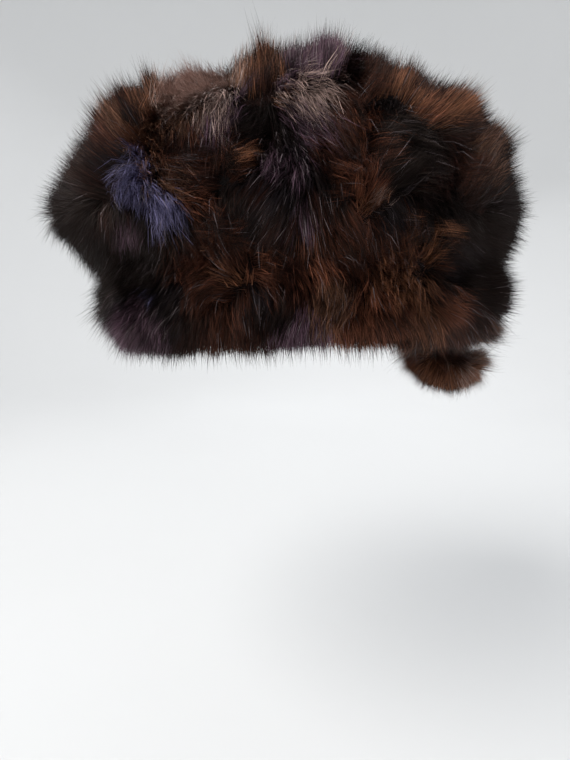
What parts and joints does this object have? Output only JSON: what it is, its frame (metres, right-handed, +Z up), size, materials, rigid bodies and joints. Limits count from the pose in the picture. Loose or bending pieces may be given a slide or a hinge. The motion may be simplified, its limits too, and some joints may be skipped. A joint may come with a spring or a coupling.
{
  "type": "fur cap",
  "caption": "Puffed round fur cap: full crown overhanging a padded fur cuff band, open below for the head, with a short fur tail hanging from the hem at the rear side.",
  "frame": {"origin": "centre of the head opening at the hem plane, where a head holds the cap", "axes": "+Z up through the crown, -Y to the front, +X to the wearer's left, the side of the tail"},
  "size_m": [0.2812, 0.2665, 0.2016],
  "materials": {
    "hide": "tanned hide, matt",
    "crown_fur": "long soft fur, dark brown with taupe, rust and slate patches",
    "band_fur": "long soft fur, near black to rust brown",
    "tail_fur": "long soft fur, rust brown"
  },
  "bodies": {
    "root": {"crown_skin": "hide", "crown_fur": "crown_fur", "band_skin": "hide", "band_fur": "band_fur", "tail": "tail_fur"}
  },
  "joints": []
}
